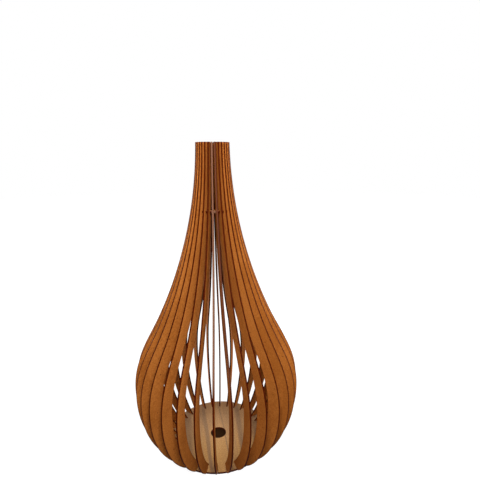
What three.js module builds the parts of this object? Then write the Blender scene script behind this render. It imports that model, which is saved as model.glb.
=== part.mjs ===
// Floor vase of flat radial slats: a teardrop body that stands on a slotted base disc and is tied in its neck
// by a slotted ring. Millimetres, +Z up. The origin is on the floor, at the centre of the disc's underside.
// Slat 1 stands over -Y, and the others follow anticlockwise as seen from above.

import * as THREE from "three";

// Vase and slats
const VASE_HEIGHT = 650;
const SLAT_COUNT = 32;
const SLAT_THICKNESS = 3;
const SLAT_WIDTH = 28; // across a slat, from its outer to its inner edge, in the belly and the waist
const FOOT_WIDTH = 26.5; // the same across the foot, at the floor
const FOOT_TAPER_HEIGHT = 30; // height over which the foot widens to the slat's full width
const NECK_TAPER_HEIGHT = 300; // height from which the slat narrows towards the mouth
const MOUTH_SLAT_GAP = 0.9; // gap between the inner edges of two neighbours at the mouth

// Outer outline of a slat: the radius and height of each station, how far the curve leans from the vertical
// there, and how far it keeps to that lean below and above the station
const FOOT_RADIUS = 113.3;
const FOOT_LEAN = 52; // degrees, outwards
const FOOT_REACH = 20;
const BELLY_RADIUS = 174.5;
const BELLY_HEIGHT = 142;
const BELLY_REACH_BELOW = 84;
const BELLY_REACH_ABOVE = 64.5;
const WAIST_RADIUS = 121.5;
const WAIST_HEIGHT = 291;
const WAIST_LEAN = 25.8; // degrees, inwards
const WAIST_REACH_BELOW = 59;
const WAIST_REACH_ABOVE = 198;
const MOUTH_RADIUS = 33;
const MOUTH_LEAN = 2; // degrees, inwards
const MOUTH_REACH = 35;

// Base disc; its rim is flush with the slats' outer corners at the floor
const DISC_THICKNESS = 4;
const DISC_SLOT_DEPTH = 10;
const DISC_HOLE_RADIUS = 17;

// Neck ring
const RING_THICKNESS = 4;
const RING_DROP = 130; // from the mouth down to the middle of the ring's thickness
const RING_NOTCH_DEPTH = 7; // cut into a slat's inner edge
const RING_SLOT_DEPTH = 5; // cut into the ring's rim
const RING_LIP = 5; // how far the ring reaches inside the slats' inner edges

// Joints: the gap left all round where a slat sits in a slot or on a shoulder
const JOINT_GAP = 0.3;

// Facets
const FOOT_STEPS = 12;
const SHOULDER_STEPS = 10;
const NECK_STEPS = 16;
const RIM_STEPS = 2; // between two slots
const HOLE_STEPS = 48;
const LEAST_EDGE = 1.5; // no outline point lies nearer than this to a notch's corner

const FULL_TURN = 2 * Math.PI;
const SLAT_PITCH = FULL_TURN / SLAT_COUNT;
const FIRST_SLAT_ANGLE = -Math.PI / 2;
const SLOT_WIDTH = SLAT_THICKNESS + 2 * JOINT_GAP;
const DISC_SLOT_RADIUS = FOOT_RADIUS - DISC_SLOT_DEPTH;
const RING_MIDDLE = VASE_HEIGHT - RING_DROP;

// Inner radius at the mouth: the circle on which the slats' inner edges keep their gap
const BORE_RADIUS = (SLAT_COUNT * (SLAT_THICKNESS + MOUTH_SLAT_GAP)) / FULL_TURN;

const woodFinish = (color, roughness) => new THREE.MeshStandardMaterial({ color, roughness, metalness: 0 });
const slatFinish = () => woodFinish(0x9c5b2a, 0.72);
const discFinish = () => woodFinish(0xb58e63, 0.68);
const ringFinish = () => woodFinish(0xa5744a, 0.7);

// A point that lies a distance away from a station along the curve's lean; a negative distance goes down.
function along(radius, height, lean, distance) {
  const angle = THREE.MathUtils.degToRad(lean);
  return new THREE.Vector2(radius + distance * Math.sin(angle), height + distance * Math.cos(angle));
}

// The outer outline, as three curves from the floor to the mouth. x is the radius and y is the height.
function outerOutline() {
  const foot = new THREE.Vector2(FOOT_RADIUS, 0);
  const belly = new THREE.Vector2(BELLY_RADIUS, BELLY_HEIGHT);
  const waist = new THREE.Vector2(WAIST_RADIUS, WAIST_HEIGHT);
  const mouth = new THREE.Vector2(MOUTH_RADIUS, VASE_HEIGHT);
  const footCurve = new THREE.CubicBezierCurve(
    foot,
    along(FOOT_RADIUS, 0, FOOT_LEAN, FOOT_REACH),
    along(BELLY_RADIUS, BELLY_HEIGHT, 0, -BELLY_REACH_BELOW),
    belly,
  );
  const shoulderCurve = new THREE.CubicBezierCurve(
    belly,
    along(BELLY_RADIUS, BELLY_HEIGHT, 0, BELLY_REACH_ABOVE),
    along(WAIST_RADIUS, WAIST_HEIGHT, -WAIST_LEAN, -WAIST_REACH_BELOW),
    waist,
  );
  const neckCurve = new THREE.CubicBezierCurve(
    waist,
    along(WAIST_RADIUS, WAIST_HEIGHT, -WAIST_LEAN, WAIST_REACH_ABOVE),
    along(MOUTH_RADIUS, VASE_HEIGHT, -MOUTH_LEAN, -MOUTH_REACH),
    mouth,
  );
  return [footCurve, shoulderCurve, neckCurve];
}

const OUTLINE = outerOutline();
const OUTLINE_STEPS = [FOOT_STEPS, SHOULDER_STEPS, NECK_STEPS];

// Radius of the outer edge at a height, found by halving the curve's parameter.
function outerRadius(height) {
  const curve = OUTLINE.find((piece) => height <= piece.v3.y) ?? OUTLINE[OUTLINE.length - 1];
  let low = 0;
  let high = 1;
  for (let halving = 0; halving < 40; halving += 1) {
    const middle = (low + high) / 2;
    if (curve.getPoint(middle).y < height) low = middle;
    else high = middle;
  }
  return curve.getPoint(high).x;
}

// Width of a slat at a height: it grows over the foot and shrinks up the neck.
function slatWidth(height) {
  const foot = THREE.MathUtils.smoothstep(height, 0, FOOT_TAPER_HEIGHT);
  const neck = THREE.MathUtils.smoothstep(height, NECK_TAPER_HEIGHT, VASE_HEIGHT);
  const body = THREE.MathUtils.lerp(FOOT_WIDTH, SLAT_WIDTH, foot);
  return THREE.MathUtils.lerp(body, MOUTH_RADIUS - BORE_RADIUS, neck);
}

const innerRadius = (height) => outerRadius(height) - slatWidth(height);

// Radius at which the notch in the slats ends and the slots in the ring begin
const RING_SLOT_RADIUS = innerRadius(RING_MIDDLE) + RING_NOTCH_DEPTH;
const RING_RADIUS = RING_SLOT_RADIUS + RING_SLOT_DEPTH;
const RING_HOLE_RADIUS = innerRadius(RING_MIDDLE) - RING_LIP;

// The outer edge of a slat, from the floor to the mouth.
function outerEdge() {
  const points = [OUTLINE[0].getPoint(0)];
  OUTLINE.forEach((curve, piece) => points.push(...curve.getPoints(OUTLINE_STEPS[piece]).slice(1)));
  return points;
}

// The inner edge of a slat, from the mouth down to the floor, with the ring's notch and the disc's step.
function innerEdge(heights) {
  const shoulder = DISC_THICKNESS + JOINT_GAP;
  const notchBottom = RING_MIDDLE - RING_THICKNESS / 2 - JOINT_GAP;
  const notchTop = RING_MIDDLE + RING_THICKNESS / 2 + JOINT_GAP;
  const notchEnd = RING_SLOT_RADIUS + JOINT_GAP;
  const stepEnd = DISC_SLOT_RADIUS + JOINT_GAP;
  const onEdge = (height) => new THREE.Vector2(innerRadius(height), height);
  const above = heights.filter((height) => height > notchTop + LEAST_EDGE);
  const below = heights.filter((height) => height < notchBottom - LEAST_EDGE && height > shoulder + LEAST_EDGE);
  return [
    ...above.reverse().map(onEdge),
    onEdge(notchTop),
    new THREE.Vector2(notchEnd, notchTop),
    new THREE.Vector2(notchEnd, notchBottom),
    onEdge(notchBottom),
    ...below.reverse().map(onEdge),
    onEdge(shoulder),
    new THREE.Vector2(stepEnd, shoulder),
    new THREE.Vector2(stepEnd, 0),
  ];
}

// One slat, flat in the plane of X and Z with its thickness centred on that plane.
function slatGeometry() {
  const outer = outerEdge();
  const outline = new THREE.Shape([...outer, ...innerEdge(outer.map((point) => point.y))]);
  const geometry = new THREE.ExtrudeGeometry(outline, { depth: SLAT_THICKNESS, bevelEnabled: false });
  return geometry.translate(0, 0, -SLAT_THICKNESS / 2).rotateX(Math.PI / 2);
}

// A round rim with one open, parallel-sided slot for each slat.
function slottedRim(radius, slotRadius) {
  const halfSlot = SLOT_WIDTH / 2;
  const cornerRadius = Math.sqrt(radius ** 2 - halfSlot ** 2);
  const cornerAngle = Math.asin(halfSlot / radius);
  const points = [];
  for (let slat = 0; slat < SLAT_COUNT; slat += 1) {
    const angle = FIRST_SLAT_ANGLE + slat * SLAT_PITCH;
    const outwards = new THREE.Vector2(Math.cos(angle), Math.sin(angle));
    const sideways = new THREE.Vector2(-outwards.y, outwards.x);
    const corner = (reach, side) => outwards.clone().multiplyScalar(reach).addScaledVector(sideways, side);
    points.push(corner(cornerRadius, -halfSlot), corner(slotRadius, -halfSlot));
    points.push(corner(slotRadius, halfSlot), corner(cornerRadius, halfSlot));
    const rimTurn = SLAT_PITCH - 2 * cornerAngle;
    for (let step = 1; step < RIM_STEPS; step += 1) {
      const rimAngle = angle + cornerAngle + (rimTurn * step) / RIM_STEPS;
      points.push(new THREE.Vector2(radius * Math.cos(rimAngle), radius * Math.sin(rimAngle)));
    }
  }
  return points;
}

// A flat plate with a slotted rim and a round hole, lying on the plane of X and Y.
function slottedPlate(radius, slotRadius, holeRadius, thickness) {
  const plate = new THREE.Shape(slottedRim(radius, slotRadius));
  plate.holes.push(new THREE.Path().absarc(0, 0, holeRadius, 0, FULL_TURN, true));
  return new THREE.ExtrudeGeometry(plate, {
    depth: thickness,
    bevelEnabled: false,
    curveSegments: HOLE_STEPS,
  });
}

function addNamed(group, name, geometry, material) {
  const mesh = new THREE.Mesh(geometry, material);
  mesh.name = name;
  group.add(mesh);
  return mesh;
}

function addSlats(group) {
  const geometry = slatGeometry();
  for (let slat = 0; slat < SLAT_COUNT; slat += 1) {
    const name = `slat_${String(slat + 1).padStart(2, "0")}`;
    const mesh = addNamed(group, name, geometry, slatFinish());
    mesh.rotation.z = FIRST_SLAT_ANGLE + slat * SLAT_PITCH;
  }
}

function addBaseDisc(group) {
  const geometry = slottedPlate(FOOT_RADIUS, DISC_SLOT_RADIUS, DISC_HOLE_RADIUS, DISC_THICKNESS);
  addNamed(group, "base_disc", geometry, discFinish());
}

function addNeckRing(group) {
  const geometry = slottedPlate(RING_RADIUS, RING_SLOT_RADIUS, RING_HOLE_RADIUS, RING_THICKNESS);
  const mesh = addNamed(group, "neck_ring", geometry, ringFinish());
  mesh.position.z = RING_MIDDLE - RING_THICKNESS / 2;
}

const vase = new THREE.Group();
vase.name = "floor_vase";
addSlats(vase);
addBaseDisc(vase);
addNeckRing(vase);

export default vase;
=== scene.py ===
"""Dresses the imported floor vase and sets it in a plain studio.

Metres, +Z up. The origin is on the floor, at the centre of the base disc's underside, and -Y is the front.
The slats, the base disc and the neck ring are all boards cut by a laser, so they share one way of being made:
an outline with its holes, sharp little arrises, dark cut edges and a halo of scorched wood beside them.
"""

import logging
import math
from dataclasses import dataclass, field
from enum import Enum
from typing import Any

import bmesh
import bpy
from mathutils import Matrix, Vector


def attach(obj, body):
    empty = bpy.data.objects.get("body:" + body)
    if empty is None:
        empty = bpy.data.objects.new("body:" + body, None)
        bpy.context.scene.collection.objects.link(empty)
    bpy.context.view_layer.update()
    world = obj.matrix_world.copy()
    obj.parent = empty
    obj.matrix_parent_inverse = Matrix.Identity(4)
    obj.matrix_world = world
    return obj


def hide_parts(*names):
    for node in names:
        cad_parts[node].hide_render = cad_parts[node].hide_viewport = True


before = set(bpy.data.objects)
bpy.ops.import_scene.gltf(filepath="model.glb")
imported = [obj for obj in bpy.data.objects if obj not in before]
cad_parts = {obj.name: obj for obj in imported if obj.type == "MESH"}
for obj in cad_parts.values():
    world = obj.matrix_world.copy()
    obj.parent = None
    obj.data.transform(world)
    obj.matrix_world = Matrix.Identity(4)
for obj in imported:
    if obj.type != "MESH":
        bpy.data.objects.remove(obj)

LOG = logging.getLogger("floor_vase")
BODY = "root"
FULL_TURN = 2.0 * math.pi
HALVINGS = 40  # how often a search along a curve halves its range
TINY = 1e-9  # metres, for heights that differ by rounding alone
NOISE_RANGE = (0.3, 0.7)  # where nearly all values of a noise lie

Colour = tuple[float, float, float, float]
Triple = tuple[float, float, float]
Loop = list[Vector]
Socket = bpy.types.NodeSocket

WHITE: Colour = (1.0, 1.0, 1.0, 1.0)


def srgb(red: int, green: int, blue: int) -> Colour:
    """Turns a colour as seen on a screen into the linear colour that a shader takes.

    Args:
        red: Red, 0 to 255.
        green: Green, 0 to 255.
        blue: Blue, 0 to 255.

    Returns:
        The linear colour, opaque.
    """

    def linear(value: int) -> float:
        """One channel, from 0 to 255 to linear."""
        share = value / 255.0
        return share / 12.92 if share <= 0.04045 else ((share + 0.055) / 1.055) ** 2.4

    return (linear(red), linear(green), linear(blue), 1.0)


def smoothstep(value: float, low: float, high: float) -> float:
    """Rises from 0 at low to 1 at high, level at both ends."""
    share = min(1.0, max(0.0, (value - low) / (high - low)))
    return share * share * (3.0 - 2.0 * share)


class Slot(Enum):
    """The record's material slots."""

    SLATS = "slat_board"
    DISC = "disc_board"
    RING = "ring_board"


class Attribute(Enum):
    """What a board's mesh hands to its finish."""

    FROM_CUT = "from_cut"  # metres from the nearest cut edge, up to the width of the band beside it
    CUT = "cut"  # 1 on the cut edges and their arrises, 0 on the two faces
    SHADE = "shade"  # 0 to 1, one value for each slat
    BOARD = "board"  # UV map: metres in the board's own plane, or along and across its cut edge


@dataclass(frozen=True)
class Noise:
    """How fine a cloudy pattern is."""

    scale: float  # patches for each metre
    detail: float = 2.0
    rough: float = 0.5
    along: float = 1.0  # what the second axis is scaled by first; below 1 it draws the patches out


@dataclass(frozen=True)
class Ramp:
    """Takes a value smoothly to a share, which is nothing at one value and the most at another."""

    none: float
    full: float
    most: float = 1.0


class Net:
    """A node tree, with short ways to add nodes and join them."""

    def __init__(self, tree: bpy.types.NodeTree) -> None:
        """Takes the tree and empties it."""
        self.tree = tree
        self.tree.nodes.clear()

    def node(self, kind: str, inputs: dict[str | int, Any] | None = None, **settings: Any) -> bpy.types.Node:
        """Adds a node.

        Args:
            kind: The node's type.
            inputs: A value or another node's socket for each named or numbered input.
            settings: The node's own properties.

        Returns:
            The new node.
        """
        made = self.tree.nodes.new(kind)
        for key, value in settings.items():
            setattr(made, key, value)
        for key, value in (inputs or {}).items():
            self.feed(made.inputs[key], value)
        return made

    def feed(self, socket: Socket, value: Any) -> None:
        """Fills an input.

        Args:
            socket: The input.
            value: Another node's socket, which is linked, or a plain value, which is set.
        """
        if isinstance(value, Socket):
            self.tree.links.new(value, socket)
        else:
            socket.default_value = value

    def math(self, operation: str, first: Any, second: Any = 0.0, third: Any = 0.0) -> Socket:
        """The result of one sum of two or three numbers."""
        return self.node("ShaderNodeMath", {0: first, 1: second, 2: third}, operation=operation).outputs[0]

    def seen(self) -> Socket:
        """Tells what is looked at from what gives light.

        Returns:
            1 for rays from the camera, a mirror or through glass, and 0 for light.
        """
        path = self.node("ShaderNodeLightPath").outputs
        both = self.math("MAXIMUM", path["Is Camera Ray"], path["Is Glossy Ray"])
        return self.math("MAXIMUM", both, path["Is Transmission Ray"])


class Shader(Net):
    """A material's nodes, with short ways to make patterns and to lay them over each other."""

    def __init__(self, name: str) -> None:
        """Makes an empty material.

        Args:
            name: The material's name.
        """
        self.material = bpy.data.materials.new(name)
        self.material.use_nodes = True
        super().__init__(self.material.node_tree)

    def remap(self, value: Any, low: float, high: float, start: float = 0.0, end: float = 1.0) -> Socket:
        """Takes a value smoothly from one range into another.

        Args:
            value: The value.
            low: Where its range starts.
            high: Where its range ends.
            start: Where the new range starts.
            end: Where the new range ends.

        Returns:
            The new value.
        """
        made = self.node(
            "ShaderNodeMapRange",
            {"Value": value, "From Min": low, "From Max": high, "To Min": start, "To Max": end},
            interpolation_type="SMOOTHSTEP",
        )
        return made.outputs["Result"]

    def ramp(self, value: Any, ramp: Ramp) -> Socket:
        """The share that the ramp makes of a value."""
        return self.remap(value, ramp.none, ramp.full, 0.0, ramp.most)

    def mix(self, factor: Any, first: Any, second: Any) -> Socket:
        """Mixes two colours.

        Args:
            factor: The second colour's share.
            first: The first colour.
            second: The second colour.

        Returns:
            The colour between them.
        """
        made = self.node("ShaderNodeMix", {"Factor": factor}, data_type="RGBA")
        self.feed(made.inputs[6], first)
        self.feed(made.inputs[7], second)
        return made.outputs[2]

    def noise(self, where: Any, pattern: Noise) -> Socket:
        """Makes a cloudy pattern.

        Args:
            where: The coordinates, in metres.
            pattern: How fine it is.

        Returns:
            Its value, about 0.5.
        """
        drawn = self.node("ShaderNodeMapping", {"Vector": where, "Scale": (1.0, pattern.along, 1.0)}).outputs[0]
        inputs = {"Vector": drawn, "Scale": pattern.scale, "Detail": pattern.detail, "Roughness": pattern.rough}
        return self.node("ShaderNodeTexNoise", inputs).outputs["Fac"]

    def attribute(self, name: Attribute) -> Socket:
        """The board's own value of that attribute."""
        return self.node("ShaderNodeAttribute", attribute_name=name.value).outputs["Fac"]

    def board(self) -> Socket:
        """The place on the board's UV map."""
        return self.node("ShaderNodeUVMap", uv_map=Attribute.BOARD.value).outputs["UV"]

    def place(self) -> Socket:
        """The place on the vase."""
        return self.node("ShaderNodeTexCoord").outputs["Object"]

    def finish(
        self, colour: Any, roughness: Any, height: Any, depth: float, specular: float
    ) -> bpy.types.Material:
        """Ends the nodes in one surface.

        Args:
            colour: The surface's colour.
            roughness: Its roughness.
            height: The relief, 0 to 1.
            depth: How deep the relief is, in metres.
            specular: The specular level.

        Returns:
            The finished material.
        """
        bump = self.node("ShaderNodeBump", {"Height": height, "Distance": depth, "Strength": 1.0})
        surface = self.node(
            "ShaderNodeBsdfPrincipled",
            {
                "Base Color": colour,
                "Roughness": roughness,
                "Specular IOR Level": specular,
                "Normal": bump.outputs["Normal"],
            },
        )
        self.node("ShaderNodeOutputMaterial", {"Surface": surface.outputs["BSDF"]})
        return self.material


@dataclass(frozen=True)
class BurntEdge:
    """The dark cut edge that a laser leaves, and the scorched halo on the faces beside it."""

    char: Colour = srgb(46, 10, 0)
    ember: Colour = srgb(70, 18, 1)
    scorch: Colour = srgb(84, 26, 2)
    painted_sheen: Colour = srgb(112, 80, 62)  # painted sheen: a frontal lamp's reflection, painted as a pale grey-brown on the char up the front of the waist and the neck
    painted_sheen_rise: Ramp = Ramp(0.20, 0.24)  # over the height, for the painted sheen
    painted_sheen_side: float = 0.06  # the middle of the painted sheen on the front, as X over -Y
    painted_sheen_reach: float = 0.17  # how far it goes to either side of that, in the same measure
    painted_sheen_least: float = 0.001  # the least -Y that X is divided by
    halo: float = 0.0022  # how far the scorch reaches on average
    ragged: Noise = Noise(420.0)
    scorched: Ramp = Ramp(1.0, 0.0, 0.7)  # over the distance from the cut as a share of the halo's reach there
    sooty: Ramp = Ramp(0.0003, 0.0, 0.85)  # over the distance from the cut
    stripes: Noise = Noise(900.0, 3.0, 0.6, along=0.12)
    glowed: Ramp = Ramp(0.35, 0.7)  # over the stripes
    ribs: Noise = Noise(2600.0, 1.0, along=0.05)
    roughness: float = 0.7

    def over(self, shader: Shader, face: Any, place: Any) -> Socket:
        """Lays the scorch and the char over the colour of the faces.

        Args:
            shader: The material's nodes.
            face: The colour of the two faces.
            place: Coordinates in the board's plane, or along and across its cut edge.

        Returns:
            The colour all over the board.
        """
        reach = shader.math("MULTIPLY", shader.noise(place, self.ragged), 2.0 * self.halo)
        from_cut = shader.attribute(Attribute.FROM_CUT)
        scorched = shader.ramp(shader.math("DIVIDE", from_cut, reach), self.scorched)
        around = shader.mix(scorched, face, self.scorch)
        around = shader.mix(shader.ramp(from_cut, self.sooty), around, self.char)
        glowed = shader.ramp(shader.noise(place, self.stripes), self.glowed)
        # painted sheen: the cut edges are lightened up the front of the waist and the neck
        edge = shader.mix(self.painted_sheen_share(shader), shader.mix(glowed, self.char, self.ember), self.painted_sheen)
        return shader.mix(shader.attribute(Attribute.CUT), around, edge)

    def painted_sheen_share(self, shader: Shader) -> Socket:
        """Works out the share of the painted sheen on the cut edges, from the place on the vase.

        Args:
            shader: The material's nodes.

        Returns:
            The share, 0 to 1.
        """
        at = shader.node("ShaderNodeSeparateXYZ", {0: shader.place()}).outputs
        ahead = shader.math("MAXIMUM", shader.math("MULTIPLY", at["Y"], -1.0), self.painted_sheen_least)
        side = shader.math("DIVIDE", at["X"], ahead)
        apart = shader.math("ABSOLUTE", shader.math("SUBTRACT", side, self.painted_sheen_side))
        front = shader.math("SUBTRACT", 1.0, shader.math("DIVIDE", apart, self.painted_sheen_reach))
        return shader.math("MULTIPLY", shader.math("MAXIMUM", front, 0.0), shader.ramp(at["Z"], self.painted_sheen_rise))

    def instead(self, shader: Shader, face: Any, edge: Any) -> Socket:
        """Chooses between a value for the faces and one for the cut edges.

        Args:
            shader: The material's nodes.
            face: The faces' value.
            edge: The cut edges' value.

        Returns:
            The value all over the board.
        """
        made = shader.node("ShaderNodeMix", {"Factor": shader.attribute(Attribute.CUT)}, data_type="FLOAT")
        shader.feed(made.inputs[2], face)
        shader.feed(made.inputs[3], edge)
        return made.outputs[0]

    def relief(self, shader: Shader, face: Any, place: Any) -> Socket:
        """The relief of the cut edge, fine ribs across the board's thickness, in place of the faces' relief."""
        return self.instead(shader, face, shader.noise(place, self.ribs))


@dataclass(frozen=True)
class FibreboardFinish:
    """Bare orange-brown fibreboard: cloudy and mottled, with fine fibres and a few dark flecks."""

    slot: Slot
    deep: Colour
    warm: Colour
    pale: Colour
    fleck: Colour = srgb(84, 40, 16)
    spread: float = 7.0  # how far apart in the pattern the boards of shades 0 and 1 are cut, in metres
    clouds: Noise = Noise(22.0, 1.0, along=0.5)
    mottle: Noise = Noise(180.0, 3.0, 0.6)
    shade_share: float = 0.14  # how far the tone goes with a board's shade
    warmed: Ramp = Ramp(0.36, 0.64)  # over the tone
    fibres: Noise = Noise(2400.0, 3.0, 0.7, along=0.35)
    pale_fibres: Ramp = Ramp(0.52, 0.78, 0.6)
    dark_fibres: Ramp = Ramp(0.46, 0.3, 0.5)
    fleck_scale: float = 60.0
    flecked: Ramp = Ramp(0.11, 0.05, 0.8)  # over the distance from the nearest fleck
    roughness: tuple[float, float] = (0.72, 0.86)  # on the dark fibres and on the pale ones
    depth: float = 0.00012
    specular: float = 0.02
    edge: BurntEdge = BurntEdge()

    def material(self) -> bpy.types.Material:
        """Makes the material.

        Returns:
            The material.
        """
        shader = Shader(self.slot.value)
        shade = shader.attribute(Attribute.SHADE)
        flat = shader.node("ShaderNodeSeparateXYZ", {0: shader.board()}).outputs
        layer = shader.math("MULTIPLY", shade, self.spread)
        own = shader.node("ShaderNodeCombineXYZ", {0: flat["X"], 1: flat["Y"], 2: layer}).outputs[0]
        clouds = shader.math("MULTIPLY", shader.noise(own, self.clouds), 0.5)
        mottle = shader.math("MULTIPLY", shader.noise(own, self.mottle), 0.5)
        shift = shader.math("MULTIPLY", shader.math("SUBTRACT", shade, 0.5), self.shade_share)
        tone = shader.math("ADD", shader.math("ADD", clouds, mottle), shift)
        fibres = shader.noise(own, self.fibres)
        near = shader.node("ShaderNodeTexVoronoi", {"Vector": own, "Scale": self.fleck_scale}, feature="F1")
        colour = shader.mix(shader.ramp(tone, self.warmed), self.deep, self.warm)
        colour = shader.mix(shader.ramp(fibres, self.pale_fibres), colour, self.pale)
        colour = shader.mix(shader.ramp(fibres, self.dark_fibres), colour, self.fleck)
        colour = shader.mix(shader.ramp(near.outputs["Distance"], self.flecked), colour, self.fleck)
        roughness = shader.remap(fibres, *NOISE_RANGE, *self.roughness)
        return shader.finish(
            self.edge.over(shader, colour, own),
            self.edge.instead(shader, roughness, self.edge.roughness),
            self.edge.relief(shader, fibres, own),
            self.depth,
            self.specular,
        )


@dataclass(frozen=True)
class Streak:
    """A darker streak that runs nearly along Y through a veneer."""

    across: float  # where it crosses the X axis, in metres
    slope: float  # how far it goes to -X for each metre along Y
    half_width: float
    share: float
    fades: tuple[float, float] = (1.4, 0.4)  # where it starts and where it is full, in half widths

    def over(self, shader: Shader, colour: Any, flat: Any, sway: Any, dark: Colour) -> Socket:
        """Lays the streak over a colour.

        Args:
            shader: The material's nodes.
            colour: The colour under the streak.
            flat: The outputs X and Y of the place on the veneer.
            sway: How far the grain wanders there, in metres.
            dark: The streak's colour.

        Returns:
            The colour with the streak.
        """
        line = shader.math("MULTIPLY_ADD", flat["Y"], self.slope, flat["X"])
        apart = shader.math("ABSOLUTE", shader.math("ADD", shader.math("SUBTRACT", line, self.across), sway))
        start, full = (reach * self.half_width for reach in self.fades)
        return shader.mix(shader.ramp(apart, Ramp(start, full, self.share)), colour, dark)


@dataclass(frozen=True)
class VeneerFinish:
    """Pale tan veneer with straight grain: soft bands, fine lines and a few darker streaks."""

    slot: Slot
    tan: Colour
    honey: Colour
    grey: Colour
    line: Colour
    slope: float  # how far the grain goes to -X for each metre along Y
    streaks: tuple[Streak, ...]
    honeyed: Ramp = Ramp(0.06, -0.09)  # over Y
    wander: Noise = Noise(16.0, 1.0, along=0.4)
    sway: float = 0.008
    broad: Noise = Noise(60.0, 1.0, along=0.06)
    broad_bands: Ramp = Ramp(0.4, 0.75, 0.3)
    narrow: Noise = Noise(240.0, 2.0, along=0.04)
    narrow_bands: Ramp = Ramp(0.52, 0.72, 0.4)
    fine: Noise = Noise(1300.0, 3.0, 0.7, along=0.03)
    fine_lines: Ramp = Ramp(0.56, 0.76, 0.5)
    roughness: tuple[float, float] = (0.5, 0.66)  # between the fine lines and on them
    depth: float = 0.0001
    specular: float = 0.1
    edge: BurntEdge = BurntEdge()

    def material(self) -> bpy.types.Material:
        """Makes the material.

        Returns:
            The material.
        """
        shader = Shader(self.slot.value)
        place = shader.place()
        flat = shader.node("ShaderNodeSeparateXYZ", {0: place}).outputs
        sway = shader.math("SUBTRACT", shader.noise(place, self.wander), 0.5)
        sway = shader.math("MULTIPLY", sway, self.sway)
        across = shader.math("MULTIPLY_ADD", flat["Y"], self.slope, flat["X"])
        across = shader.math("ADD", across, sway)
        grain = shader.node("ShaderNodeCombineXYZ", {0: across, 1: flat["Y"], 2: flat["Z"]}).outputs[0]
        fine = shader.noise(grain, self.fine)
        colour = shader.mix(shader.ramp(flat["Y"], self.honeyed), self.tan, self.honey)
        colour = shader.mix(shader.ramp(shader.noise(grain, self.broad), self.broad_bands), colour, self.grey)
        colour = shader.mix(shader.ramp(shader.noise(grain, self.narrow), self.narrow_bands), colour, self.grey)
        for streak in self.streaks:
            colour = streak.over(shader, colour, flat, sway, self.grey)
        colour = shader.mix(shader.ramp(fine, self.fine_lines), colour, self.line)
        plane = shader.board()
        roughness = shader.remap(fine, *NOISE_RANGE, *self.roughness)
        return shader.finish(
            self.edge.over(shader, colour, plane),
            self.edge.instead(shader, roughness, self.edge.roughness),
            self.edge.relief(shader, fine, plane),
            self.depth,
            self.specular,
        )


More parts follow.
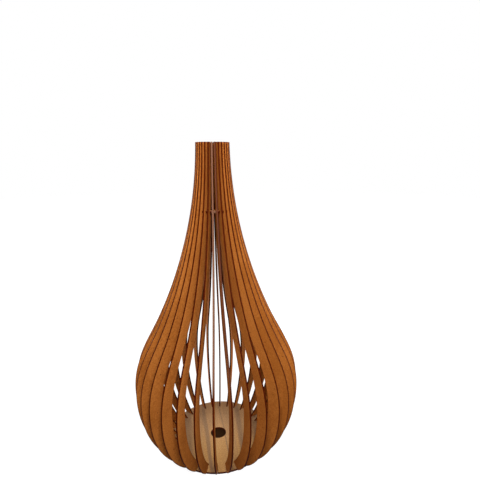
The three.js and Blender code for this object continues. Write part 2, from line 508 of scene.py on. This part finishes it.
@dataclass
class CutBoard:
    """A flat board cut from sheet: an outline, its holes and a thickness."""

    outline: Loop  # anticlockwise
    holes: list[Loop]  # clockwise
    thickness: float
    arris: float = 0.0002
    band: float = 0.0016  # the width of the narrow faces beside each cut
    sharp_from: float = 30.0  # degrees between two faces

    def inset(self, loop: Loop, distance: float) -> Loop:
        """Moves a loop into the board.

        Args:
            loop: The loop, with the board on its left.
            distance: How far each side moves.

        Returns:
            The moved loop, with as many points.
        """
        moved: Loop = []
        for before, here, after in zip(loop[-1:] + loop[:-1], loop, loop[1:] + loop[:1]):
            first = (here - before).normalized()
            second = (after - here).normalized()
            inwards = [Vector((-side.y, side.x)) for side in (first, second)]
            share = 1.0 + inwards[0].dot(inwards[1])
            moved.append(here + (inwards[0] + inwards[1]) * (distance / share))
        return moved

    def levels(self) -> list[tuple[float, float]]:
        """Places the rings of points round a cut.

        Returns:
            For each ring, from the upper face down to the lower one, its distance from the cut and its height.
        """
        half = self.thickness / 2.0
        upper = [(self.band, half), (self.arris, half), (0.0, half - self.arris)]
        return upper + [(depth, -level) for depth, level in reversed(upper)]

    def wall(self, made: bmesh.types.BMesh, loop: Loop) -> list[list[bmesh.types.BMEdge]]:
        """Builds the cut along one loop, with its arrises and the bands beside it.

        Args:
            made: The board's mesh, with its layers.
            loop: The outline or a hole.

        Returns:
            The edges that the upper face starts from, and those of the lower face.
        """
        from_cut = made.verts.layers.float[Attribute.FROM_CUT.value]
        cut = made.faces.layers.float[Attribute.CUT.value]
        board = made.loops.layers.uv[Attribute.BOARD.value]
        run = [0.0]
        for here, after in zip(loop, loop[1:] + loop[:1]):
            run.append(run[-1] + (after - here).length)
        rings = []
        for depth, level in self.levels():
            ring = [made.verts.new((point.x, point.y, level)) for point in self.inset(loop, depth)]
            for vertex in ring:
                vertex[from_cut] = depth
            rings.append(ring)
        for strip, (upper, lower) in enumerate(zip(rings, rings[1:])):
            burnt = 0 < strip < len(rings) - 2
            for step in range(len(loop)):
                nearby = (step + 1) % len(loop)
                face = made.faces.new((upper[step], lower[step], lower[nearby], upper[nearby]))
                face[cut] = 1.0 if burnt else 0.0
                along = (run[step], run[step], run[step + 1], run[step + 1])
                for corner, distance in zip(face.loops, along):
                    at = corner.vert.co
                    corner[board].uv = (distance, at.z) if burnt else (at.x, at.y)
        return [
            [made.edges.get((here, after)) for here, after in zip(ring, ring[1:] + ring[:1])]
            for ring in (rings[0], rings[-1])
        ]

    def fill(self, made: bmesh.types.BMesh, rim: list[bmesh.types.BMEdge], up: float) -> None:
        """Fills one of the two faces inside its bands.

        Args:
            made: The board's mesh, with its layers.
            rim: The inner edges of the face's bands.
            up: 1 for the upper face, -1 for the lower one.
        """
        board = made.loops.layers.uv[Attribute.BOARD.value]
        filled = bmesh.ops.triangle_fill(
            made, use_beauty=True, use_dissolve=False, edges=rim, normal=(0.0, 0.0, up)
        )
        for face in filled["geom"]:
            if isinstance(face, bmesh.types.BMFace):
                for corner in face.loops:
                    corner[board].uv = corner.vert.co.xy

    def mesh(self, name: str, place: Matrix) -> bpy.types.Mesh:
        """Builds the board.

        Args:
            name: The mesh's name.
            place: Takes the board from the plane of X and Y, its thickness centred there, to where it belongs.

        Returns:
            The mesh, with the attributes that the finishes read.
        """
        made = bmesh.new()
        made.verts.layers.float.new(Attribute.FROM_CUT.value)
        made.faces.layers.float.new(Attribute.CUT.value)
        made.loops.layers.uv.new(Attribute.BOARD.value)
        upper: list[bmesh.types.BMEdge] = []
        lower: list[bmesh.types.BMEdge] = []
        for loop in [self.outline, *self.holes]:
            above, below = self.wall(made, loop)
            upper += above
            lower += below
        self.fill(made, upper, 1.0)
        self.fill(made, lower, -1.0)
        made.transform(place)
        bmesh.ops.recalc_face_normals(made, faces=made.faces)
        mesh = bpy.data.meshes.new(name)
        made.to_mesh(mesh)
        made.free()
        mesh.shade_smooth()
        mesh.set_sharp_from_angle(angle=math.radians(self.sharp_from))
        return mesh


@dataclass(frozen=True)
class Station:
    """A point that the slats' outer outline passes through, and how it leans there."""

    radius: float
    height: float
    lean: float  # degrees from the vertical, outwards
    reach_below: float  # how far the curve below is pulled along the lean
    reach_above: float  # how far the curve above is

    def handle(self, reach: float) -> Vector:
        """The point that far along the lean, as radius and height."""
        angle = math.radians(self.lean)
        return Vector((self.radius + reach * math.sin(angle), self.height + reach * math.cos(angle)))


@dataclass
class Slats:
    """The flat slats that stand on edge round the vase, all cut to one outline."""

    height: float = 0.650
    count: int = 32
    thickness: float = 0.003
    width: float = 0.028
    foot_width: float = 0.0265
    foot_taper: float = 0.030
    neck_taper_from: float = 0.300
    mouth_gap: float = 0.0009
    joint_gap: float = 0.0003
    disc_thickness: float = 0.004
    disc_slot_depth: float = 0.010
    ring_thickness: float = 0.004
    ring_drop: float = 0.130
    ring_notch_depth: float = 0.007
    first_angle: float = -math.pi / 2.0  # from +X, so the first slat stands at the front
    group: int = 4  # the slats in one piece, few enough for a sharp colour map in the export
    seed: int = 7
    stations: tuple[Station, ...] = (
        Station(0.1133, 0.0, 52.0, 0.0, 0.020),
        Station(0.1745, 0.142, 0.0, 0.084, 0.0645),
        Station(0.1215, 0.291, -25.8, 0.059, 0.198),
        Station(0.033, 0.650, -2.0, 0.035, 0.0),
    )
    steps: tuple[int, ...] = (28, 24, 36)  # how many sides the outline has from each station to the next
    spare: float = 0.0025  # how far the inner edge's points keep from the notch and the foot's step

    def bore(self) -> float:
        """The inner radius at the mouth, where the inner edges of two neighbours keep their gap."""
        return self.count * (self.thickness + self.mouth_gap) / FULL_TURN

    def ring_middle(self) -> float:
        """The height of the middle of the neck ring."""
        return self.height - self.ring_drop

    def curve_point(self, piece: int, share: float) -> Vector:
        """Finds a point on the outer outline.

        Args:
            piece: The curve that it is on, counted from the foot.
            share: How far along that curve it is, 0 to 1.

        Returns:
            The point, as radius and height.
        """
        low, high = self.stations[piece], self.stations[piece + 1]
        points = [low.handle(0.0), low.handle(low.reach_above)]
        points += [high.handle(-high.reach_below), high.handle(0.0)]
        while len(points) > 1:
            points = [first.lerp(second, share) for first, second in zip(points, points[1:])]
        return points[0]

    def outer_radius(self, height: float) -> float:
        """Finds the radius of the outer edge by halving.

        Args:
            height: The height above the floor.

        Returns:
            The radius there.
        """
        piece = next(i for i, top in enumerate(self.stations[1:]) if height <= top.height + TINY)
        low, high = 0.0, 1.0
        for _ in range(HALVINGS):
            middle = (low + high) / 2.0
            if self.curve_point(piece, middle).y < height:
                low = middle
            else:
                high = middle
        return self.curve_point(piece, high).x

    def width_at(self, height: float) -> float:
        """Works out the width of a slat, which grows over the foot and shrinks up the neck.

        Args:
            height: The height above the floor.

        Returns:
            The width there.
        """
        foot = smoothstep(height, 0.0, self.foot_taper)
        neck = smoothstep(height, self.neck_taper_from, self.height)
        body = self.foot_width + (self.width - self.foot_width) * foot
        return body + (self.stations[-1].radius - self.bore() - body) * neck

    def inner_radius(self, height: float) -> float:
        """The radius of the inner edge at a height."""
        return self.outer_radius(height) - self.width_at(height)

    def outline(self) -> Loop:
        """Draws a slat, with its step for the disc and its notch for the ring.

        Returns:
            The outline, anticlockwise, as radius and height.
        """
        outer: Loop = [self.curve_point(0, 0.0)]
        for piece, steps in enumerate(self.steps):
            outer += [self.curve_point(piece, step / steps) for step in range(1, steps + 1)]
        shoulder = self.disc_thickness + self.joint_gap
        step_end = self.stations[0].radius - self.disc_slot_depth + self.joint_gap
        low = self.ring_middle() - self.ring_thickness / 2.0 - self.joint_gap
        high = self.ring_middle() + self.ring_thickness / 2.0 + self.joint_gap
        notch_end = self.inner_radius(self.ring_middle()) + self.ring_notch_depth + self.joint_gap
        heights = [point.y for point in reversed(outer)]
        above = [height for height in heights if height > high + self.spare]
        below = [height for height in heights if shoulder + self.spare < height < low - self.spare]
        inner: Loop = [Vector((self.inner_radius(height), height)) for height in [*above, high]]
        inner += [Vector((notch_end, high)), Vector((notch_end, low))]
        inner += [Vector((self.inner_radius(height), height)) for height in [low, *below, shoulder]]
        inner += [Vector((step_end, shoulder)), Vector((step_end, 0.0))]
        return outer + inner

    def tree(self) -> bpy.types.NodeTree:
        """Builds the nodes that set copies of one slat round the axis.

        Returns:
            The node group, with its sizes, its seed and the finish as named inputs.
        """
        tree = bpy.data.node_groups.new("slats_round_the_axis", "GeometryNodeTree")
        inputs = {
            "Slat": "NodeSocketGeometry",
            "Count": "NodeSocketInt",
            "First number": "NodeSocketInt",
            "Pitch": "NodeSocketFloat",
            "First angle": "NodeSocketFloat",
            "Seed": "NodeSocketInt",
            "Finish": "NodeSocketMaterial",
        }
        for name, kind in inputs.items():
            tree.interface.new_socket(name, in_out="INPUT", socket_type=kind)
        tree.interface.new_socket("Slats", in_out="OUTPUT", socket_type="NodeSocketGeometry")
        net = Net(tree)
        given = net.node("NodeGroupInput").outputs
        points = net.node("GeometryNodePoints", {"Count": given["Count"]}).outputs[0]
        index = net.node("GeometryNodeInputIndex").outputs[0]
        number = net.node(
            "FunctionNodeIntegerMath", {0: index, 1: given["First number"]}, operation="ADD"
        ).outputs[0]
        turn = net.math("MULTIPLY_ADD", number, given["Pitch"], given["First angle"])
        spin = net.node("FunctionNodeAxisAngleToRotation", {"Axis": (0.0, 0.0, 1.0), "Angle": turn}).outputs[0]
        copies = net.node(
            "GeometryNodeInstanceOnPoints", {"Points": points, "Instance": given["Slat"], "Rotation": spin}
        ).outputs[0]
        chance = net.node("FunctionNodeRandomValue", {"ID": number, "Seed": given["Seed"]}, data_type="FLOAT")
        shaded = net.node(
            "GeometryNodeStoreNamedAttribute",
            {"Geometry": copies, "Name": Attribute.SHADE.value, "Value": chance.outputs[1]},
            data_type="FLOAT",
            domain="INSTANCE",
        ).outputs[0]
        real = net.node("GeometryNodeRealizeInstances", {0: shaded}).outputs[0]
        dressed = net.node("GeometryNodeSetMaterial", {"Geometry": real, "Material": given["Finish"]})
        net.node("NodeGroupOutput", {0: dressed.outputs[0]})
        return tree

    def build(self, finish: FibreboardFinish) -> list[bpy.types.Object]:
        """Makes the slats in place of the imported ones, a few neighbours in each piece.

        Args:
            finish: The slats' finish.

        Returns:
            The pieces.
        """
        upright = Matrix(((1, 0, 0, 0), (0, 0, -1, 0), (0, 1, 0, 0), (0, 0, 0, 1)))
        single = CutBoard(self.outline(), [], self.thickness).mesh("slat", upright)
        material = finish.material()
        tree = self.tree()
        return [self.build_group(single, tree, material, first) for first in range(0, self.count, self.group)]

    def build_group(
        self, single: bpy.types.Mesh, tree: bpy.types.NodeTree, material: bpy.types.Material, first: int
    ) -> bpy.types.Object:
        """Makes one piece of neighbouring slats.

        Args:
            single: The mesh of one slat, standing along +X.
            tree: The nodes that set its copies round the axis.
            material: The slats' material.
            first: The number of the first of these slats, from 0.

        Returns:
            The piece.
        """
        numbers = range(first + 1, min(first + self.group, self.count) + 1)
        pattern = bpy.data.objects.new("slat_pattern", single)
        bpy.context.scene.collection.objects.link(pattern)
        modifier = pattern.modifiers.new("round", "NODES")
        modifier.node_group = tree
        values = {
            "Count": len(numbers),
            "First number": first,
            "Pitch": FULL_TURN / self.count,
            "First angle": self.first_angle,
            "Seed": self.seed,
            "Finish": material,
        }
        for item in tree.interface.items_tree:
            if item.in_out == "INPUT" and item.name in values:
                modifier[item.identifier] = values[item.name]
        graph = bpy.context.evaluated_depsgraph_get()
        mesh = bpy.data.meshes.new_from_object(pattern.evaluated_get(graph), depsgraph=graph)
        pattern.modifiers.remove(modifier)
        bpy.data.objects.remove(pattern)
        mesh.name = f"slats_{numbers[0]:02d}_to_{numbers[-1]:02d}"
        return place_piece(mesh.name, mesh, None, [f"slat_{number:02d}" for number in numbers])


@dataclass
class SlottedPlate:
    """A round plate with a hole in its middle and an open slot in its rim for each slat."""

    name: str
    slot: Slot
    radius: float
    slot_radius: float
    hole_radius: float
    thickness: float
    bottom: float  # the height of its underside
    slats: Slats
    band: float = 0.0012  # the width of the narrow faces beside each cut
    rim_steps: int = 8
    hole_steps: int = 96

    def rim(self) -> Loop:
        """Draws the slotted rim.

        Returns:
            The rim, anticlockwise.
        """
        half = self.slats.thickness / 2.0 + self.slats.joint_gap
        pitch = FULL_TURN / self.slats.count
        corner_angle = math.asin(half / self.radius)
        corner_radius = math.sqrt(self.radius**2 - half**2)
        slot = ((corner_radius, -1), (self.slot_radius, -1), (self.slot_radius, 1), (corner_radius, 1))
        points: Loop = []
        for number in range(self.slats.count):
            angle = self.slats.first_angle + number * pitch
            outwards = Vector((math.cos(angle), math.sin(angle)))
            sideways = Vector((-outwards.y, outwards.x)) * half
            points += [outwards * reach + sideways * side for reach, side in slot]
            for step in range(1, self.rim_steps):
                turn = angle + corner_angle + (pitch - 2.0 * corner_angle) * step / self.rim_steps
                points.append(Vector((math.cos(turn), math.sin(turn))) * self.radius)
        return points

    def hole(self) -> Loop:
        """The hole, clockwise."""
        turns = [-FULL_TURN * step / self.hole_steps for step in range(self.hole_steps)]
        return [Vector((math.cos(turn), math.sin(turn))) * self.hole_radius for turn in turns]

    def build(self, material: bpy.types.Material) -> bpy.types.Object:
        """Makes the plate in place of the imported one.

        Args:
            material: The plate's material.

        Returns:
            The piece.
        """
        board = CutBoard(self.rim(), [self.hole()], self.thickness, band=self.band)
        mesh = board.mesh(self.name, Matrix.Translation((0.0, 0.0, self.bottom + self.thickness / 2.0)))
        return place_piece(f"{self.name}_board", mesh, material, [self.name])


def place_piece(
    name: str, mesh: bpy.types.Mesh, material: bpy.types.Material | None, nodes: list[str]
) -> bpy.types.Object:
    """Puts a finished mesh into the scene as a piece of the vase.

    Args:
        name: The piece's name.
        mesh: Its mesh, already in its place.
        material: Its material, or None where the mesh has one.
        nodes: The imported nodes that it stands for.

    Returns:
        The piece.
    """
    if material is not None:
        mesh.materials.append(material)
    piece = bpy.data.objects.new(name, mesh)
    bpy.context.scene.collection.objects.link(piece)
    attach(piece, BODY)
    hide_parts(*nodes)
    LOG.info("%s: %d faces, in place of %d packed nodes", name, len(mesh.polygons), len(nodes))
    return piece


@dataclass(frozen=True)
class Viewpoint:
    """The camera, where the photograph was taken."""

    distance: float = 0.75673
    height: float = 0.62459
    side: float = 2.823  # degrees to the right of the front slat, round the vase's axis
    yaw: float = 2.229  # degrees to the right
    pitch: float = 12.552  # degrees down
    roll: float = -0.1155  # degrees
    focal_pixels: float = 378.84  # the focal length, in pixels of the photograph
    centre_pixel: float = 247.093  # how far across the photograph the lens's axis lies
    frame_pixels: int = 480  # the photograph's side
    sensor: float = 36.0  # millimetres
    nearest: float = 0.01  # what is nearer isn't drawn

    def build(self) -> bpy.types.Object:
        """Makes the camera and makes it the scene's.

        Returns:
            The camera.
        """
        data = bpy.data.cameras.new("camera")
        data.sensor_width = self.sensor
        data.lens = self.focal_pixels / self.frame_pixels * data.sensor_width
        data.shift_x = (self.frame_pixels / 2.0 - self.centre_pixel) / self.frame_pixels
        data.clip_start = self.nearest
        camera = bpy.data.objects.new("camera", data)
        bpy.context.scene.collection.objects.link(camera)
        yaw, pitch, roll, side = (math.radians(value) for value in (self.yaw, self.pitch, self.roll, self.side))
        ahead = Vector((math.sin(yaw) * math.cos(pitch), math.cos(yaw) * math.cos(pitch), -math.sin(pitch)))
        level = Vector((math.cos(yaw), -math.sin(yaw), 0.0))
        above = level.cross(ahead)
        right = level * math.cos(roll) + above * math.sin(roll)
        up = above * math.cos(roll) - level * math.sin(roll)
        place = Vector((self.distance * math.sin(side), -self.distance * math.cos(side), self.height))
        camera.matrix_world = Matrix.Translation(place) @ Matrix((right, up, -ahead)).transposed().to_4x4()
        bpy.context.scene.camera = camera
        return camera


@dataclass(frozen=True)
class Lamp:
    """A soft square lamp."""

    name: str
    place: Triple
    aim: Triple
    side: float  # metres
    power: float  # watts

    def build(self) -> None:
        """Hangs the lamp and turns it to its aim."""
        data = bpy.data.lights.new(self.name, "AREA")
        data.shape = "SQUARE"
        data.size = self.side
        data.energy = self.power
        lamp = bpy.data.objects.new(self.name, data)
        bpy.context.scene.collection.objects.link(lamp)
        place = Vector(self.place)
        lamp.location = place
        lamp.rotation_mode = "QUATERNION"
        lamp.rotation_quaternion = (Vector(self.aim) - place).to_track_quat("-Z", "Y")


LOW_ON_VASE: Triple = (0.0, 0.0, 0.25)
HALFWAY_UP: Triple = (0.0, 0.0, 0.35)
LAMPS = (
    Lamp("key", (0.02, -0.6, 1.0), LOW_ON_VASE, side=0.2, power=10.4),
    Lamp("front", (0.12, -0.8, 0.62), LOW_ON_VASE, side=0.2, power=2.6),
    Lamp("right", (0.9, -0.5, 0.8), LOW_ON_VASE, side=0.8, power=7.0),
    Lamp("left", (-1.0, -0.3, 0.8), LOW_ON_VASE, side=0.8, power=3.0),
    Lamp("back right", (0.9, 0.9, 0.35), HALFWAY_UP, side=0.7, power=15.0),
    Lamp("back left", (-0.9, 0.9, 0.35), HALFWAY_UP, side=0.7, power=15.0),
)


@dataclass(frozen=True)
class Studio:
    """A plain white room: the floor, the light all round and the soft lamps."""

    floor_radius: float = 6.0
    floor_sides: int = 64
    floor_drop: float = 0.0002
    floor_grey: Colour = (0.16, 0.16, 0.16, 1.0)
    # the floor is dark brown under the base disc, so that the hole in the disc shows dark
    under_disc: Colour = srgb(38, 23, 11)
    clear_of_disc: Ramp = Ramp(0.100, 0.112)  # over the distance from the axis
    beside: float = 0.93  # how bright the floor is beside the vase, with white as 1
    whitens: tuple[float, float] = (0.12, 0.45)  # from where on, and up to where, it turns white
    ambient: float = 0.2
    lamps: tuple[Lamp, ...] = LAMPS

    def floor(self) -> bpy.types.Object:
        """Lays the white floor, which keeps the vase's shadow and is dark brown under the base disc.

        Returns:
            The floor.
        """
        made = bmesh.new()
        bmesh.ops.create_circle(made, cap_ends=True, radius=self.floor_radius, segments=self.floor_sides)
        made.transform(Matrix.Translation((0.0, 0.0, -self.floor_drop)))
        mesh = bpy.data.meshes.new("floor")
        made.to_mesh(mesh)
        made.free()
        shader = Shader("white_floor")
        reach = shader.node("ShaderNodeVectorMath", {0: shader.place()}, operation="LENGTH").outputs["Value"]
        clear = shader.ramp(reach, self.clear_of_disc)
        tone = shader.mix(clear, self.under_disc, self.floor_grey)
        matt = shader.node("ShaderNodeBsdfDiffuse", {"Color": tone})
        bright = shader.math("MULTIPLY", clear, shader.remap(reach, *self.whitens, self.beside, 1.0))
        lift = shader.node("ShaderNodeEmission", {"Strength": shader.math("MULTIPLY", shader.seen(), bright)})
        both = shader.node("ShaderNodeAddShader", {0: matt.outputs[0], 1: lift.outputs[0]})
        shader.node("ShaderNodeOutputMaterial", {"Surface": both.outputs[0]})
        mesh.materials.append(shader.material)
        floor = bpy.data.objects.new("floor", mesh)
        bpy.context.scene.collection.objects.link(floor)
        return floor

    def surroundings(self) -> None:
        """Sets the white surroundings, which also give the light all round."""
        world = bpy.data.worlds.new("white_room")
        world.use_nodes = True
        net = Net(world.node_tree)
        light = net.node("ShaderNodeBackground", {"Color": WHITE, "Strength": self.ambient})
        white = net.node("ShaderNodeBackground", {"Color": WHITE, "Strength": 1.0})
        mixed = net.node("ShaderNodeMixShader", {0: net.seen(), 1: light.outputs[0], 2: white.outputs[0]})
        net.node("ShaderNodeOutputWorld", {"Surface": mixed.outputs[0]})
        bpy.context.scene.world = world

    def build(self) -> None:
        """Makes the floor, the surroundings and the lamps."""
        self.floor()
        self.surroundings()
        for lamp in self.lamps:
            lamp.build()
        bpy.context.scene.view_settings.view_transform = "Standard"


@dataclass
class FloorVase:
    """The vase: slats that stand in the slots of a base disc and are tied by a ring in the neck."""

    slats: Slats = field(default_factory=Slats)
    disc_hole_radius: float = 0.017
    ring_slot_depth: float = 0.005
    ring_lip: float = 0.005  # how far the ring reaches inwards past the slats
    ring_band: float = 0.001
    slat_finish: FibreboardFinish = FibreboardFinish(
        slot=Slot.SLATS, deep=srgb(151, 88, 33), warm=srgb(171, 104, 44), pale=srgb(191, 125, 62)
    )
    ring_finish: FibreboardFinish = FibreboardFinish(
        slot=Slot.RING, deep=srgb(150, 98, 58), warm=srgb(176, 122, 78), pale=srgb(196, 150, 108)
    )
    disc_finish: VeneerFinish = VeneerFinish(
        slot=Slot.DISC,
        tan=srgb(169, 132, 90),
        honey=srgb(182, 139, 82),
        grey=srgb(124, 102, 78),
        line=srgb(114, 82, 50),
        slope=0.16,
        streaks=(
            # three narrow streaks of heartwood
            Streak(-0.0265, 0.163, 0.0045, 0.75),
            Streak(0.0135, 0.184, 0.0012, 0.8),
            Streak(0.0497, 0.1, 0.006, 0.75),
            # two broad darker bands near the disc's left and right edges
            Streak(-0.072, 0.14, 0.012, 0.7),
            Streak(0.088, 0.1, 0.01, 0.6),
        ),
    )

    def disc(self) -> SlottedPlate:
        """Sizes the base disc from the slats.

        Returns:
            The disc.
        """
        radius = self.slats.stations[0].radius
        return SlottedPlate(
            name="base_disc",
            slot=Slot.DISC,
            radius=radius,
            slot_radius=radius - self.slats.disc_slot_depth,
            hole_radius=self.disc_hole_radius,
            thickness=self.slats.disc_thickness,
            bottom=0.0,
            slats=self.slats,
        )

    def ring(self) -> SlottedPlate:
        """Sizes the neck ring from the slats.

        Returns:
            The ring.
        """
        middle = self.slats.ring_middle()
        inner = self.slats.inner_radius(middle)
        slot_radius = inner + self.slats.ring_notch_depth
        return SlottedPlate(
            name="neck_ring",
            slot=Slot.RING,
            radius=slot_radius + self.ring_slot_depth,
            slot_radius=slot_radius,
            hole_radius=inner - self.ring_lip,
            thickness=self.slats.ring_thickness,
            bottom=middle - self.slats.ring_thickness / 2.0,
            slats=self.slats,
            band=self.ring_band,
        )

    def build(self) -> None:
        """Makes the slats, the base disc and the neck ring, in that order."""
        self.slats.build(self.slat_finish)
        self.disc().build(self.disc_finish.material())
        self.ring().build(self.ring_finish.material())


def main() -> None:
    """Builds the vase and its studio."""
    logging.basicConfig(level=logging.INFO, format="%(name)s: %(message)s")
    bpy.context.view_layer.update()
    Viewpoint().build()
    Studio().build()
    FloorVase().build()


if __name__ == "__main__":
    main()
